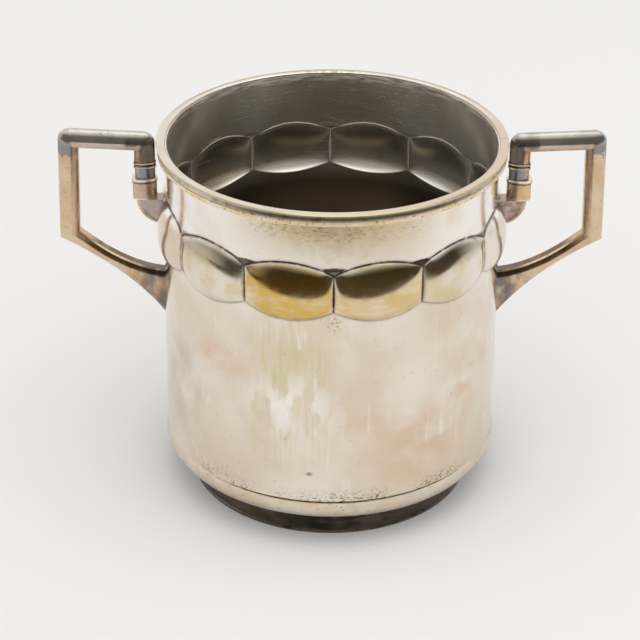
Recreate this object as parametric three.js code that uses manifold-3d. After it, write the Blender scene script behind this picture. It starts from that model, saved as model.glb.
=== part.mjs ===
// Champagne cooler in worn silver plate: a raised vessel with a band of twelve embossed lobes under the
// neck, a moulded mouth, a foot ring, and two cast angular handles, each let into a bracket on the neck.
// Millimetres, +Z up, origin at the centre of the foot on the table. The handles stand out along X.
import * as THREE from "three";
import { mergeVertices } from "three/addons/utils/BufferGeometryUtils.js";
import Module from "manifold-3d";

// Vessel
const bodyRadius = 97; // outside of the straight wall under the lobes
const neckInset = 1.8; // the neck is this much smaller in radius than the body
const neckFlare = 3.8; // height over which the wall draws in to the neck, just above the grooves
const wall = 1.2; // sheet thickness
const mouthHeight = 214.5; // top of the mouth moulding above the table
const footHeight = 20; // underside of the vessel above the table
const wallSpread = 0.9; // the straight wall widens by this much on its way down
const cornerWidth = 12; // how far in the rounded bottom corner reaches
const cornerHeight = 13; // how far up it reaches

// Band of lobes
const lobeCount = 12;
const lobeDepth = 49; // from the top of the mouth down to the middle of the band
const grooveHeight = 21.5; // height of the upright groove between two lobes
const lobeArch = 6.3; // how far a lobe's rounded top and bottom edges pass the ends of the grooves
const lobeLift = 4.6; // how far a lobe's middle stands out of the wall
const lobeMargin = 4.5; // plain strip above and below the lobes, where the wall straightens again
const sideFullness = 0.6; // 1 makes a lobe's section across a parabola, less makes it fuller
const riseFullness = 0.7; // the same for its section up the wall

// Mouth moulding
const lipReach = 4.8; // the lip's outer edge stands this far out of the neck
const lipCover = 0.3; // how far the lip reaches in over the sheet's edge
const lipThickness = 1.4;
const lipRounding = 0.5; // softens the lip's edges
const mouldingHeight = 7.2;
const mouldingBead = 2.2; // height of the half-round bead under the cove
const beadInset = 0.7; // the bead ends this far inside the lip's outer edge
const coveDepth = 1.5; // the cove's deepest part lies this far inside the bead
const coveUndercut = 0.5; // and this far under the lip

// Base band and foot ring
const bandHeight = 13.2; // from the band's lower edge up to the crease against the wall
const bandProud = 0.7; // how far the band's upper edge stands out of the wall
const bandTuck = 4.7; // how far its lower edge lies further in than its upper edge
const bandDrop = 0.9; // how far the band hangs below the underside of the vessel
const bandRounding = 0.7; // rounding of its upper edge
const footSetIn = 1.6; // the foot is this much smaller in radius than the vessel's flat underside
const footThickness = 2;
const footTaper = 1.8; // the foot ring is this much smaller in radius at the table
const footBead = 2.6; // height of the bead along the foot's lower edge
const footBeadProud = 0.6;
const solderGap = 0.3; // clearance left between two pieces that are soldered together

// Handles: an angular loop of D-shaped bar, flat and bevelled towards the opening
const barWidth = 11.8; // across the bar, from the opening to the outside
const barHalf = 4.4; // half the bar's thickness, front to back
const bevelWidth = 3.8; // slanting face along the opening
const innerHalf = 3.4; // half the narrow face that the two slants leave
const legGap = 0.7; // between the mouth's edge and the bar beside it
const gripRise = 3.1; // top of the grip above the mouth, at its inner end
const gripSlope = 0.045; // rise of the grip per millimetre outwards
const gripDepth = 10.9; // height of the grip bar
const gripRound = 7; // radius of the two rounded upper corners
const openingRound = 0.4; // the opening's own corners are nearly sharp
const loopWidth = 31.4; // clear opening between the two upright bars
const loopHeight = 52.4; // clear opening along the outer bar
const outerLean = 1.4; // the outer bar's lower end is this much further out
const elbowDrop = 5; // sharp outer corner below the opening's corner
const armDrop = 25; // from the opening's lower outer corner down to the arm's upper edge at the wall
const armHollow = 22; // from the wall out to the bend of the arm's two edges
const armUpperBend = 2; // the upper edge bends this much above its end at the wall
const armUnderBend = 0.8; // the under edge bends this much above the same level
const armSpread = 32; // height of the arm's spread end
const armBury = 2; // the arm runs on this far into the wall and is cut to its curve

// Ferrule under each handle's leg
const legLength = 14.6; // from the mouth's height down to where the leg ends
const ferruleHeight = 10;
const ferruleWaist = 0.2; // the plain neck under the rings is this much thinner than the leg
const ringHeight = 1.5; // each of the two fine rings
const ringProud = 0.45;
const ringSpacing = 0.9; // between the two rings
const ringEdge = 0.15; // slant of a ring's edges

// Bracket: a socket on a quarter-round block
const socketHeight = 12.6;
const socketWidth = 13.6;
const socketShift = 0.4; // the socket lies this much further out than the leg above it
const socketHalf = 5.2;
const socketFace = 4; // half the narrow face towards the opening
const socketLip = 2.2; // height of the raised lip round the socket's mouth
const lipProud = 0.6;
const lipEdge = 0.5; // rounding of that lip
const corbelHeight = 16.5; // quarter-round block under the socket
const corbelHalf = 4.7;
const corbelInset = 1.8; // the block ends this much short of the socket's outer face
const corbelBevel = 3.5;
const corbelFace = 2.1; // half the narrow face along the block's curve
const corbelBury = 1.5; // the block starts this far inside the neck and is cut to its curve

// Fineness of the curved surfaces
const stepsPerLobe = 10;
const lobeRows = 10;
const cornerSteps = 6;
const barSteps = 8;
const armSteps = 7;
const roundSteps = 4;
const blockSteps = 8;

const wasm = await Module();
wasm.setup();

// A three.js geometry as a solid whose shared corners are merged.
function solidOf(geometry) {
  const bare = new THREE.BufferGeometry();
  bare.setAttribute("position", geometry.getAttribute("position"));
  bare.setIndex(geometry.index);
  const merged = mergeVertices(bare, 1e-4);
  return new wasm.Manifold(
    new wasm.Mesh({
      numProp: 3,
      vertProperties: new Float32Array(merged.attributes.position.array),
      triVerts: new Uint32Array(merged.index.array),
    }),
  );
}

function geometryOf(solid) {
  const mesh = solid.getMesh();
  const geometry = new THREE.BufferGeometry();
  geometry.setAttribute("position", new THREE.BufferAttribute(mesh.vertProperties, 3));
  geometry.setIndex(new THREE.BufferAttribute(mesh.triVerts, 1));
  geometry.computeVertexNormals();
  return geometry;
}

// A skin through rings of points. A ring has one point (a pole), as many points as its neighbour, or twice
// or half as many. With ends set, the first and last rings are convex outlines closed by flat caps.
function skin(rings, ends = false) {
  const points = rings.flat();
  const index = [];
  let start = 0;
  for (let r = 0; r + 1 < rings.length; r++) {
    const a = rings[r].length;
    const b = rings[r + 1].length;
    const next = start + a;
    const steps = Math.max(a, b);
    for (let i = 0; i < steps; i++) {
      const a0 = start + Math.floor((i * a) / steps);
      const a1 = start + (Math.floor(((i + 1) * a) / steps) % a);
      const b0 = next + Math.floor((i * b) / steps);
      const b1 = next + (Math.floor(((i + 1) * b) / steps) % b);
      if (a0 !== a1) index.push(a0, a1, b1);
      if (b0 !== b1) index.push(a0, b1, b0);
    }
    start = next;
  }
  if (ends) {
    const last = start;
    for (let i = 1; i + 1 < rings[0].length; i++) index.push(0, i + 1, i);
    for (let i = 1; i + 1 < rings.at(-1).length; i++) index.push(last, last + i, last + i + 1);
  }
  const geometry = new THREE.BufferGeometry();
  geometry.setAttribute("position", new THREE.Float32BufferAttribute(points.flat(), 3));
  geometry.setIndex(index);
  return geometry;
}

// A ring of points round the vessel's axis, at a radius and height that may both follow the angle.
function ringRound(count, radius, height) {
  const ring = [];
  for (let i = 0; i < count; i++) {
    const angle = (i / count) * 2 * Math.PI;
    const r = typeof radius === "function" ? radius(angle) : radius;
    const z = typeof height === "function" ? height(angle) : height;
    ring.push([r * Math.cos(angle), r * Math.sin(angle), z]);
  }
  return ring;
}

// Vessel: one sheet from the flat bottom, round the corner and up the wall, pressed out into the lobes
const neckRadius = bodyRadius - neckInset;
const wallFoot = bodyRadius + wallSpread;
const floorRadius = wallFoot - cornerWidth;
const wallTop = mouthHeight - lipThickness - solderGap;
const lobeMiddle = mouthHeight - lobeDepth;
const lobeReach = grooveHeight / 2 + lobeArch + lobeMargin;
const lobesBottom = lobeMiddle - lobeReach;
const lobesTop = lobeMiddle + lobeReach;
const grooveTop = lobeMiddle + grooveHeight / 2;
const roundCount = (lobeCount * stepsPerLobe) / 2;

// How far across its lobe an angle lies: -1 and 1 in the grooves, 0 in the middle. A groove lies on +X.
function across(angle) {
  const turns = (angle / (2 * Math.PI)) * lobeCount;
  return 2 * (turns - Math.floor(turns)) - 1;
}

function lobeHalfHeight(angle) {
  return grooveHeight / 2 + lobeArch * (1 - across(angle) ** 2);
}

// The plain wall between the lobes keeps the body's radius up to the tops of the grooves, and draws in to
// the neck's above them.
function plainRadius(height) {
  const along = Math.min(1, Math.max(0, (height - grooveTop) / neckFlare));
  return bodyRadius - neckInset * along ** 2 * (3 - 2 * along);
}

// The vessel's outside, or a skin that much further out (in, when negative), as rings from the bottom up.
// It ends at the height given.
function outside(offset, top) {
  const rings = [[[0, 0, footHeight - offset]]];
  rings.push(ringRound(roundCount, floorRadius, footHeight - offset));
  for (let i = 1; i <= cornerSteps; i++) {
    const turn = (i / cornerSteps) * (Math.PI / 2);
    const r = floorRadius + (cornerWidth + offset) * Math.sin(turn);
    const z = footHeight + cornerHeight - (cornerHeight + offset) * Math.cos(turn);
    rings.push(ringRound(roundCount, r, z));
  }
  rings.push(ringRound(roundCount, bodyRadius + offset, lobesBottom));
  for (let row = 0; row <= lobeRows; row++) {
    const up = -Math.cos((row / lobeRows) * Math.PI);
    const height = (angle) => lobeMiddle + up * lobeHalfHeight(angle);
    const radius = (angle) => {
      const side = Math.max(0, 1 - across(angle) ** 2) ** sideFullness;
      const rise = Math.max(0, 1 - up ** 2) ** riseFullness;
      return plainRadius(height(angle)) + lobeLift * side * rise + offset;
    };
    rings.push(ringRound(2 * roundCount, radius, height));
  }
  for (const share of [0.5, 1]) {
    const height = (angle) => lobeMiddle + lobeHalfHeight(angle) + neckFlare * share;
    rings.push(ringRound(2 * roundCount, (angle) => plainRadius(height(angle)) + offset, height));
  }
  rings.push(ringRound(roundCount, neckRadius + offset, lobesTop));
  rings.push(ringRound(roundCount, neckRadius + offset, top));
  return rings;
}

const vesselInside = outside(-wall, wallTop).reverse();
const vesselGeometry = geometryOf(solidOf(skin([...outside(0, wallTop), ...vesselInside])));

// The space that other pieces must keep out of: the vessel filled in, with the solder gap round it.
const vesselSpace = solidOf(skin([...outside(solderGap, wallTop), [[0, 0, wallTop]]]));

// A ring turned round the axis from a closed outline of [radius, height] pairs, listed anticlockwise.
function turned(outline) {
  const profile = [...outline, outline[0]].map(([r, z]) => new THREE.Vector2(r, z));
  const geometry = new THREE.LatheGeometry(profile, roundCount);
  geometry.rotateX(Math.PI / 2);
  return solidOf(geometry);
}

// Mouth moulding: a lip over the wall's edge, a cove under it, and a small bead at the bottom
const mouthRadius = neckRadius + lipReach;
const lipInner = neckRadius - lipCover;
const lipBottom = mouthHeight - lipThickness;
const mouldingInner = neckRadius + solderGap;
const mouldingBottom = mouthHeight - mouldingHeight;
const beadOuter = mouthRadius - beadInset;
const beadRound = mouldingBead / 2;
const coveInner = beadOuter - coveDepth;
const mouthOutline = [
  [lipInner, lipBottom],
  [mouldingInner, lipBottom],
  [mouldingInner, mouldingBottom],
];
for (let i = 0; i <= roundSteps; i++) {
  const turn = (i / roundSteps - 0.5) * Math.PI;
  const r = beadOuter - beadRound * (1 - Math.cos(turn));
  mouthOutline.push([r, mouldingBottom + beadRound * (1 + Math.sin(turn))]);
}
mouthOutline.push(
  [coveInner, lipBottom - coveUndercut],
  [mouthRadius - lipRounding, lipBottom],
  [mouthRadius, mouthHeight - lipThickness / 2],
  [mouthRadius - lipRounding, mouthHeight],
  [lipInner + lipRounding, mouthHeight],
  [lipInner, mouthHeight - lipRounding],
);
const mouthGeometry = geometryOf(turned(mouthOutline));

// Base band: a rounded strip that hides the joint between the vessel's corner and the foot ring
const footOuter = floorRadius - footSetIn;
const bandBottom = footHeight - bandDrop;
const bandTop = bandBottom + bandHeight;
const bandInner = footOuter + solderGap;
const bandOuter = wallFoot + bandProud;
const bandCurve = new THREE.QuadraticBezierCurve(
  new THREE.Vector2(bandOuter - bandTuck, bandBottom),
  new THREE.Vector2(bandOuter, bandBottom + bandHeight * 0.45),
  new THREE.Vector2(bandOuter, bandTop - bandRounding),
);
const bandOutline = [[bandInner, bandBottom]];
for (let i = 0; i <= roundSteps; i++) bandOutline.push(bandCurve.getPoint(i / roundSteps).toArray());
bandOutline.push([bandOuter - bandRounding * 0.4, bandTop], [bandInner, bandTop]);
const bandGeometry = geometryOf(turned(bandOutline).subtract(vesselSpace));

// Foot ring: a tapering collar with a fine bead along the edge that stands on the table
const footTop = footHeight - solderGap;
const footLower = footOuter - footTaper;
const footOutline = [
  [footLower - footThickness, 0],
  [footLower, 0],
  [footLower + footBeadProud, footBead * 0.3],
  [footLower + footBeadProud, footBead * 0.7],
  [footLower, footBead],
  [footLower + footTaper * 0.35, footBead + (footTop - footBead) * 0.55],
  [footOuter, footTop],
  [footOuter - footThickness, footTop],
];
const footGeometry = geometryOf(turned(footOutline));

// The section of the handle's bar, laid from a point on the opening's edge to one on the outside. In these
// points x runs outwards and y upwards in the plane of the handle, which is the XZ plane.
const point = (x, y) => new THREE.Vector2(x, y);

function laid(outline, inner, direction) {
  return outline.map(([s, t]) => [inner.x + direction.x * s, t, inner.y + direction.y * s]);
}

function barRing(inner, outer, bevel, half, face) {
  const width = inner.distanceTo(outer);
  const outline = [[0, face]];
  for (let i = 0; i <= barSteps; i++) {
    const turn = (i / barSteps) * Math.PI;
    outline.push([bevel + (width - bevel) * Math.sin(turn), half * Math.cos(turn)]);
  }
  outline.push([0, -face]);
  return laid(outline, inner, outer.clone().sub(inner).normalize());
}

// Handle: leg, inner corner, grip, outer corner, outer bar and arm, as stations along the bar
const legOuterX = mouthRadius + legGap;
const legInnerX = legOuterX + barWidth;
const legEnd = mouthHeight - legLength;
const outerBarX = legInnerX + loopWidth;
const gripTop = (x) => mouthHeight + gripRise + gripSlope * (x - legOuterX - gripRound);
const gripUnder = (x) => gripTop(x) - gripDepth;
const elbowX = outerBarX + outerLean;
const elbowZ = gripUnder(outerBarX) - loopHeight;
const armWallX = bodyRadius - armBury;
const armWallZ = elbowZ - armDrop;
const armBendX = bodyRadius + armHollow;
const armUpper = new THREE.QuadraticBezierCurve(
  point(elbowX, elbowZ),
  point(armBendX, armWallZ + armUpperBend),
  point(armWallX, armWallZ),
);
const armUnder = new THREE.QuadraticBezierCurve(
  point(elbowX + barWidth, elbowZ - elbowDrop),
  point(armBendX, armWallZ + armUnderBend),
  point(armWallX, armWallZ - armSpread),
);
const cornerBevel = bevelWidth * Math.SQRT2;

// The stations round an upper corner. The corner's two arcs start at the corner points, and side is 1
// where the outer bar is and -1 where the leg is.
function cornerStations(innerCorner, outerX, side) {
  const outerZ = gripTop(outerX - side * gripRound);
  const found = [];
  for (let i = 0; i <= roundSteps; i++) {
    const turn = (i / roundSteps) * (Math.PI / 2);
    const out = 1 - Math.sin(turn);
    const down = 1 - Math.cos(turn);
    const inner = point(innerCorner.x - side * openingRound * out, innerCorner.y - openingRound * down);
    const outer = point(outerX - side * gripRound * out, outerZ - gripRound * down);
    found.push([inner, outer, bevelWidth + (cornerBevel - bevelWidth) * Math.sin(2 * turn)]);
  }
  return found;
}

const legCorner = point(legInnerX, gripUnder(legInnerX));
const barCorner = point(outerBarX, gripUnder(outerBarX));
const stations = [
  [point(legInnerX, legEnd), point(legOuterX, legEnd), bevelWidth],
  ...cornerStations(legCorner, legOuterX, -1).reverse(),
  ...cornerStations(barCorner, outerBarX + barWidth, 1),
];
for (let i = 0; i <= armSteps; i++) {
  const along = i / armSteps;
  const bevel = i === 0 ? cornerBevel : bevelWidth;
  stations.push([armUpper.getPoint(along), armUnder.getPoint(along), bevel]);
}
const handleRings = stations.map(([inner, outer, bevel]) =>
  barRing(inner, outer, bevel, barHalf, innerHalf),
);
const handleGeometry = geometryOf(solidOf(skin(handleRings, true)).subtract(vesselSpace));

// Ferrule: two fine rings and a plain neck between the leg and its socket
const ferruleTop = legEnd - solderGap;
const ferruleBottom = ferruleTop - ferruleHeight;
const lowerRing = ringHeight + ringSpacing;
const ferruleSteps = [
  [0, 0],
  [ringEdge, ringProud],
  [ringHeight - ringEdge, ringProud],
  [ringHeight, 0],
  [lowerRing, 0],
  [lowerRing + ringEdge, ringProud],
  [lowerRing + ringHeight - ringEdge, ringProud],
  [lowerRing + ringHeight, -ferruleWaist],
  [ferruleHeight, -ferruleWaist],
];
const ferruleRings = ferruleSteps.map(([down, proud]) => {
  const inner = point(legInnerX + proud, ferruleTop - down);
  const outer = point(legOuterX - proud, ferruleTop - down);
  return barRing(inner, outer, bevelWidth, barHalf + proud, innerHalf + proud);
});
const ferruleGeometry = geometryOf(solidOf(skin(ferruleRings.reverse(), true)));

// Bracket: a lipped socket for the handle, standing on a quarter-round block soldered to the neck. The
// socket's last step runs down into the block, and the two are joined.
const socketTop = ferruleBottom - solderGap;
const socketBottom = socketTop - socketHeight;
const socketMiddle = (legOuterX + legInnerX) / 2 + socketShift;
const socketSteps = [
  [0, lipProud - lipEdge * 0.6],
  [lipEdge, lipProud],
  [socketLip - lipEdge, lipProud],
  [socketLip, 0],
  [socketHeight + corbelBury, 0],
];
const socketRings = socketSteps.map(([down, proud]) => {
  const reach = socketWidth / 2 + proud;
  const inner = point(socketMiddle + reach, socketTop - down);
  const outer = point(socketMiddle - reach, socketTop - down);
  return barRing(inner, outer, bevelWidth, socketHalf + proud, socketFace + proud);
});
const blockCentre = point(neckRadius - corbelBury, socketBottom);
const blockReach = socketMiddle + socketWidth / 2 - corbelInset - blockCentre.x;
const blockCore = 0.6; // radius of the block's own centre, hidden in the wall
const blockRings = [];
for (let i = 0; i <= blockSteps; i++) {
  const turn = (i / blockSteps) * (Math.PI / 2);
  const inner = point(blockCore * Math.cos(turn), -blockCore * Math.sin(turn)).add(blockCentre);
  const outer = point(blockReach * Math.cos(turn), -corbelHeight * Math.sin(turn)).add(blockCentre);
  const width = inner.distanceTo(outer);
  const outline = [
    [0, corbelHalf],
    [width - corbelBevel, corbelHalf],
    [width, corbelFace],
    [width, -corbelFace],
    [width - corbelBevel, -corbelHalf],
    [0, -corbelHalf],
  ];
  blockRings.push(laid(outline, inner, outer.sub(inner).normalize()));
}
const bracketSolid = solidOf(skin(socketRings.reverse(), true))
  .add(solidOf(skin(blockRings, true)))
  .subtract(vesselSpace);
const bracketGeometry = geometryOf(bracketSolid);

// Silver plate worn to different depths: creamy on the vessel, down to the copper-toned base on the handles
const plate = {
  vessel: "#d8ccbb",
  moulding: "#d6cab6",
  foot: "#6a5f54",
  handle: "#c3a382",
  bracket: "#a89b90",
};

function piece(name, geometry, colour, roughness) {
  const material = new THREE.MeshStandardMaterial({ color: colour, roughness, metalness: 1 });
  const mesh = new THREE.Mesh(geometry, material);
  mesh.name = name;
  return mesh;
}

const cooler = new THREE.Group();
cooler.add(
  piece("vessel", vesselGeometry, plate.vessel, 0.32),
  piece("mouth_moulding", mouthGeometry, plate.moulding, 0.3),
  piece("base_band", bandGeometry, plate.moulding, 0.34),
  piece("foot_ring", footGeometry, plate.foot, 0.4),
);
for (const [side, turn] of [["right", 0], ["left", Math.PI]]) {
  const group = new THREE.Group();
  group.rotation.z = turn;
  group.add(
    piece(`handle_${side}`, handleGeometry, plate.handle, 0.25),
    piece(`ferrule_${side}`, ferruleGeometry, plate.bracket, 0.22),
    piece(`bracket_${side}`, bracketGeometry, plate.bracket, 0.25),
  );
  cooler.add(group);
}

export default cooler;
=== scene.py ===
import math

import bpy
from mathutils import Matrix, Quaternion, Vector


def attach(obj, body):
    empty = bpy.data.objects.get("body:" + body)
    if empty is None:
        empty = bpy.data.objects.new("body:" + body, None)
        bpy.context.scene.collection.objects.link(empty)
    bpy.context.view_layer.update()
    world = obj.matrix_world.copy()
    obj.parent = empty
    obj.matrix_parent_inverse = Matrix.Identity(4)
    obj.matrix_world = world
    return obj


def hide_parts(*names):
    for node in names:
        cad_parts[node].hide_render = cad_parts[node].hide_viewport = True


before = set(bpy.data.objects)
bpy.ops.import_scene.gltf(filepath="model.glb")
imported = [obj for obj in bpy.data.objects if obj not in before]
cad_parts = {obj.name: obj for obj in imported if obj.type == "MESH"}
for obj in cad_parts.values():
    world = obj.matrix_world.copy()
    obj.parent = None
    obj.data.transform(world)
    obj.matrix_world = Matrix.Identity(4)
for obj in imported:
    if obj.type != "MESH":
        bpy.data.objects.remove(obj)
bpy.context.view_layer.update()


# Vessel
# One sheet of brass, spun to a straight-sided pot and embossed from inside with twelve lobes under a plain
# neck, then silver plated. The lobes' hollow backs show inside the mouth.
MM = 0.001
body_radius = 97
neck_inset = 1.8
neck_flare = 3.8
sheet = 1.2
mouth_height = 214.5
foot_height = 20
wall_spread = 0.9
corner_width = 12
corner_height = 13
lobe_count = 12
lobe_middle = mouth_height - 49
groove_half = 21.5 / 2
lobe_arch = 6.3
lobe_lift = 4.58
lobe_sag = 0.22
lobe_margin = 4.5
crease_depth = 0.25
lip_thickness = 1.4
neck_radius = body_radius - neck_inset
wall_foot = body_radius + wall_spread
floor_radius = wall_foot - corner_width
groove_top = lobe_middle + groove_half
lobe_width = 2 * math.pi * body_radius / lobe_count
columns_per_lobe = 28
lobe_rows = 40
corner_rows = 14


def lobe_columns():
    """Angles round the vessel with each one's place across its lobe, closer together near the grooves."""
    found = []
    for lobe in range(lobe_count):
        for step in range(columns_per_lobe):
            even = 2 * step / columns_per_lobe - 1
            crowded = -math.cos(math.pi * step / columns_per_lobe)
            across = 0.35 * even + 0.65 * crowded
            found.append(((lobe + (across + 1) / 2) * 2 * math.pi / lobe_count, across))
    return found


def plain_radius(height):
    """The wall between the lobes, which draws in to the neck just above the grooves."""
    if height < lobe_middle:
        along = (height - foot_height - corner_height) / (lobe_middle - foot_height - corner_height)
        return body_radius + wall_spread * max(0.0, 1 - along / 0.8)
    along = min(1.0, max(0.0, (height - groove_top) / neck_flare))
    return body_radius - neck_inset * along**2 * (3 - 2 * along)


def lobe_half(across):
    """Half a lobe's height, which is greatest at its middle."""
    return groove_half + lobe_arch * (1 - across**2)


def cushion_share(across, up):
    """How far a lobe stands out, from 0 at its edges to 1 where it is fullest, just under its middle."""
    sagged = up + lobe_sag * (1 - up**2)
    return max(0.0, 1 - across**2) ** 0.6 * max(0.0, 1 - sagged**2) ** 0.7


def crease_share(across, height):
    """Strength of the crease round a lobe: broad over its top, narrower in the grooves, fine under it."""
    over = height - lobe_middle - lobe_half(across)
    under = lobe_middle - lobe_half(across) - height
    beside = lobe_width / 2 * (1 - abs(across))
    top = math.exp(-((over / (1.0 if over > 0 else 0.5)) ** 2))
    bottom = 0.5 * math.exp(-((under / 0.7) ** 2))
    groove = math.exp(-((beside / 0.75) ** 2)) if over < 0 and under < 0 else 0.0
    return max(top, bottom, groove)


def vessel_rows(offset):
    """Rows of (x, y, z, lobe, crease, hollow) from the middle of the bottom up to the mouth. The hollow is
    the flare to the neck above the grooves."""
    columns = lobe_columns()
    rows = []

    def add_row(radius, height):
        row = []
        for angle, across in columns:
            z = height(across) if callable(height) else height
            crease = crease_share(across, z)
            along = (z - groove_top) / neck_flare
            hollow = max(0.0, 4 * along * (1 - along))
            r = (radius(z) if callable(radius) else radius) - crease_depth * crease**4
            row.append((r * math.cos(angle), r * math.sin(angle), z, 0.0, crease, hollow))
        rows.append(row)

    def wall(z):
        return plain_radius(z) + offset

    def add_lobe_row(up):
        row = []
        for angle, across in columns:
            z = lobe_middle + up * lobe_half(across)
            rise = cushion_share(across, up)
            crease = crease_share(across, z)
            base = plain_radius(z)
            if up > 0:
                base = body_radius - (body_radius - plain_radius(lobe_middle + lobe_half(across))) * up**4
            r = base + offset + lobe_lift * rise - crease_depth * crease**4
            row.append((r * math.cos(angle), r * math.sin(angle), z, rise, crease, 0.0))
        rows.append(row)

    for share in (0.0, 0.25, 0.5, 0.75, 1.0):
        add_row(max(0.02, floor_radius * share), foot_height - offset)
    for i in range(1, corner_rows + 1):
        turn = i / corner_rows * math.pi / 2
        r = floor_radius + (corner_width + offset) * math.sin(turn)
        add_row(r, foot_height + corner_height - (corner_height + offset) * math.cos(turn))
    wall_start = foot_height + corner_height
    low_edge = lobe_middle - groove_half - lobe_arch - lobe_margin
    high_edge = lobe_middle + groove_half + lobe_arch + lobe_margin
    for i in range(1, 13):
        add_row(wall, wall_start + (low_edge - wall_start) * i / 12)
    for share in (0.4, 0.7, 0.85, 0.93, 0.98):
        add_row(wall, lambda a: low_edge + (lobe_middle - lobe_half(a) - low_edge) * share)
    for i in range(lobe_rows + 1):
        add_lobe_row(-math.cos(i / lobe_rows * math.pi))
    for share in (0.97, 0.92, 0.86, 0.78, 0.68, 0.55, 0.38, 0.2, 0.0):
        add_row(wall, lambda a: high_edge - (high_edge - lobe_middle - lobe_half(a)) * share)
    for i in range(1, 9):
        add_row(neck_radius + offset, high_edge + (mouth_height - lip_thickness - high_edge) * i / 8)
    return rows


def sheet_mesh(name, rows, wrap=False, marks=(), sharp=50):
    """A smooth mesh through rows of points that each run round the piece; marks name the values that follow
    x, y and z. With wrap set the last row joins the first; otherwise the open ends are closed flat."""
    count = len(rows[0])
    flat = [p for row in rows for p in row]
    faces = []
    for r in range(len(rows) if wrap else len(rows) - 1):
        a, b = r * count, (r + 1) % len(rows) * count
        for i in range(count):
            j = (i + 1) % count
            faces.append((a + i, a + j, b + j, b + i))
    if not wrap:
        faces.append(tuple(range(count))[::-1])
        faces.append(tuple(range(len(flat) - count, len(flat))))
    mesh = bpy.data.meshes.new(name)
    mesh.from_pydata([(p[0] * MM, p[1] * MM, p[2] * MM) for p in flat], [], faces)
    for k, mark in enumerate(marks):
        layer = mesh.attributes.new(mark, "FLOAT", "POINT")
        layer.data.foreach_set("value", [p[3 + k] for p in flat])
    mesh.shade_smooth()
    mesh.set_sharp_from_angle(angle=math.radians(sharp))
    piece = bpy.data.objects.new(name, mesh)
    bpy.context.scene.collection.objects.link(piece)
    return piece


outer_skin = [[(*p, 0.0) for p in row] for row in vessel_rows(0)]
inner_skin = [[(*p, 1.0) for p in row] for row in vessel_rows(-sheet)]
skin_marks = ("lobe", "crease", "hollow", "inside")
vessel = sheet_mesh("vessel_sheet", outer_skin + inner_skin[::-1], marks=skin_marks)
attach(vessel, "root")
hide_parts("vessel")


def linear(code):
    """An sRGB hex colour as the linear values that Blender mixes in."""
    parts = [int(code[i : i + 2], 16) / 255 for i in (1, 3, 5)]
    return (*[p / 12.92 if p <= 0.04045 else ((p + 0.055) / 1.055) ** 2.4 for p in parts], 1.0)


def put(tree, kind, inputs=None, out=None, **settings):
    """Adds one node with its settings and links, and gives back one of its outputs, the first in use if
    none is named. An input is a value or the output that feeds it."""
    made = tree.nodes.new("ShaderNode" + kind)
    for name, value in settings.items():
        setattr(made, name, value)
    for name, value in (inputs or {}).items():
        if isinstance(value, bpy.types.NodeSocket):
            tree.links.new(value, made.inputs[name])
        else:
            made.inputs[name].default_value = value
    return made.outputs[out] if out else next(o for o in made.outputs if o.enabled)


def metal_material(name):
    """A new metal: its material, tree, shader and the place on the object in metres."""
    material = bpy.data.materials.new(name)
    material.use_nodes = True
    tree = material.node_tree
    shader = tree.nodes["Principled BSDF"]
    shader.inputs["Metallic"].default_value = 1.0
    return material, tree, shader, put(tree, "TexCoord", out="Object")


def patches(tree, place, size, low, high, stretch=(1, 1, 1)):
    """Uneven patches about size millimetres across, from 0 to 1; stretch squeezes them along an axis."""
    turned = put(tree, "Mapping", {"Vector": place, "Scale": stretch})
    noise = put(tree, "TexNoise", {"Vector": turned, "Scale": 0.5 / (size * MM), "Detail": 4.0})
    return put(tree, "MapRange", {"Value": noise, "From Min": low, "From Max": high})


def hairlines(tree, place, spacing, width, lean, stretch):
    """Fine wandering lines, such as scratches, about spacing millimetres apart."""
    turned = put(tree, "Mapping", {"Vector": place, "Rotation": lean, "Scale": stretch})
    noise = put(tree, "TexNoise", {"Vector": turned, "Scale": 0.5 / (spacing * MM), "Detail": 1.0})
    middle = put(tree, "Math", {0: noise, 1: 0.5}, operation="SUBTRACT")
    distance = put(tree, "Math", {0: middle}, operation="ABSOLUTE")
    return put(tree, "MapRange", {"Value": distance, "From Min": width, "From Max": 0.0})


def patch_at(tree, place, centre, reach, soft=0.6):
    """1 in the middle of one patch at centre, 0 beyond its reach, both in millimetres along x, y and z."""
    scale = [1 / (r * MM) for r in reach]
    shift = [-c / r for c, r in zip(centre, reach)]
    local = put(tree, "Mapping", {"Vector": place, "Scale": scale, "Location": shift})
    distance = put(tree, "VectorMath", {0: local}, "Value", operation="LENGTH")
    return put(tree, "MapRange", {"Value": distance, "From Min": 1.0, "From Max": 1 - soft})


def through(tree, share, *masks):
    """A share multiplied by masks. A mask is an output from 0 to 1, or a value with the level where it shuts
    and the level where it is wide open."""
    for mask in masks:
        if isinstance(mask, tuple):
            value, shut, wide = mask
            mask = put(tree, "MapRange", {"Value": value, "From Min": shut, "From Max": wide})
        share = put(tree, "Math", {0: share, 1: mask}, operation="MULTIPLY")
    return share


def lay(tree, under, over, strength, *masks):
    """One finish laid over another, as strongly as the masks together allow."""
    share = through(tree, strength, *masks)
    return put(tree, "Mix", {0: share, 6: under, 7: over}, data_type="RGBA")


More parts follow.
